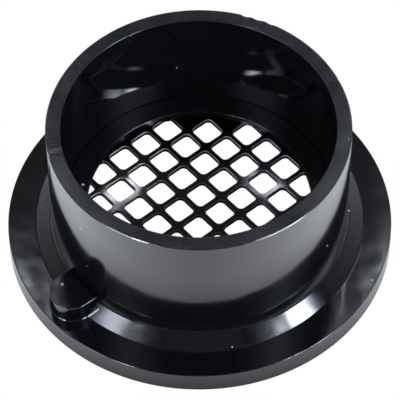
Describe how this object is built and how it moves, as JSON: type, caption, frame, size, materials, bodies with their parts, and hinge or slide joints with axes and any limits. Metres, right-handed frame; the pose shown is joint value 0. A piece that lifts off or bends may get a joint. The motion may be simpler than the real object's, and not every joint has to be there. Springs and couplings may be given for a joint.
{
  "type": "strainer collar",
  "caption": "Flanged round collar with a tapered shoulder, a side locating key and a lift-out diamond-lattice strainer in its throat.",
  "frame": {"origin": "centre of the flange's underside, on the tube's axis", "axes": "+Z along the tube, from the flange towards the tube's open rim; +X and +Y lie in the flange's underside, and the locating key points 219.4 degrees anticlockwise from +X"},
  "size_m": [0.114, 0.114, 0.0505],
  "materials": {
    "collar_plastic": "gloss moulded black ABS, satin on the cut rim",
    "flange_plastic": "gloss moulded black ABS",
    "strainer_plastic": "gloss moulded black ABS"
  },
  "bodies": {
    "collar": {"collar_tube": "collar_plastic", "flange_ring": "flange_plastic", "locating_key": "flange_plastic"},
    "strainer": {"strainer_grid": "strainer_plastic", "strainer_rim_ring": "strainer_plastic"}
  },
  "joints": [
    {"name": "strainer_lift", "type": "slide", "parent": "collar", "child": "strainer", "axis": [0, 0, 1], "range_m": [0, 0.05]}
  ]
}
